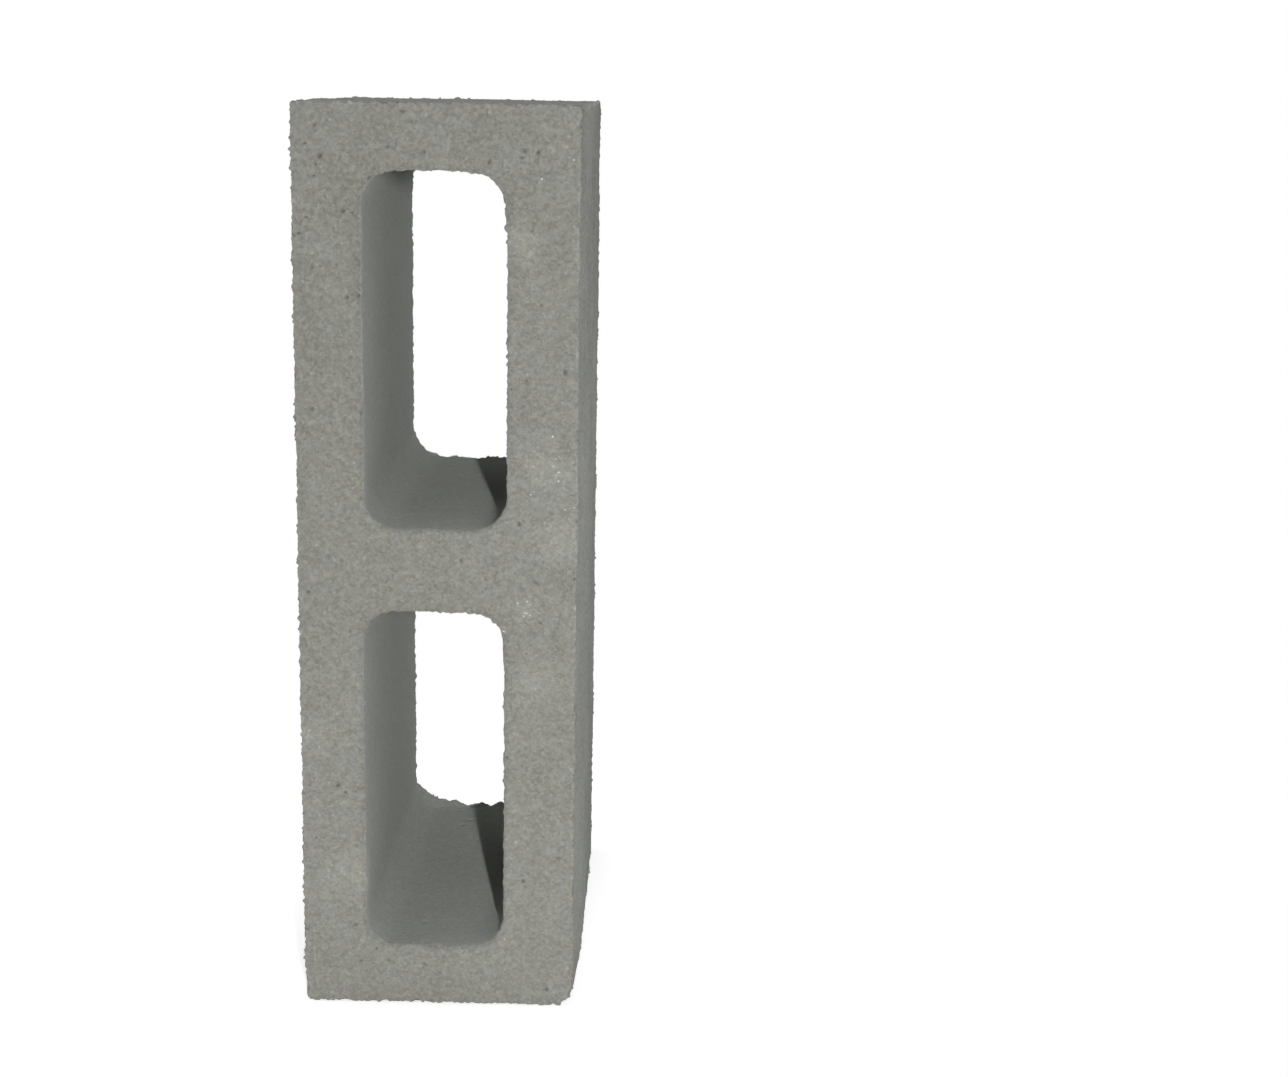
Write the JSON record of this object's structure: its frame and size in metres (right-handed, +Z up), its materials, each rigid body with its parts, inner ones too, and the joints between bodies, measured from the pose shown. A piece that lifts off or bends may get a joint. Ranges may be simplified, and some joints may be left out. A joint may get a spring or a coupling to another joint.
{
  "type": "hollow concrete block",
  "caption": "Hollow rectangular masonry block of plain grey concrete, open from bed face to bed face by tapered cells with rounded corners, for laying in mortared or grouted walls.",
  "frame": {"origin": "centre of the end face that the block stands on", "axes": "+Z up along the block's length, +X through the thickness of the wall, +Y along the cells from the thick bed face to the thin one"},
  "size_m": [0.12, 0.19, 0.39],
  "materials": {
    "concrete": "bare moulded concrete, matt and finely sandy"
  },
  "bodies": {
    "root": {"concrete_block": "concrete"}
  },
  "joints": []
}
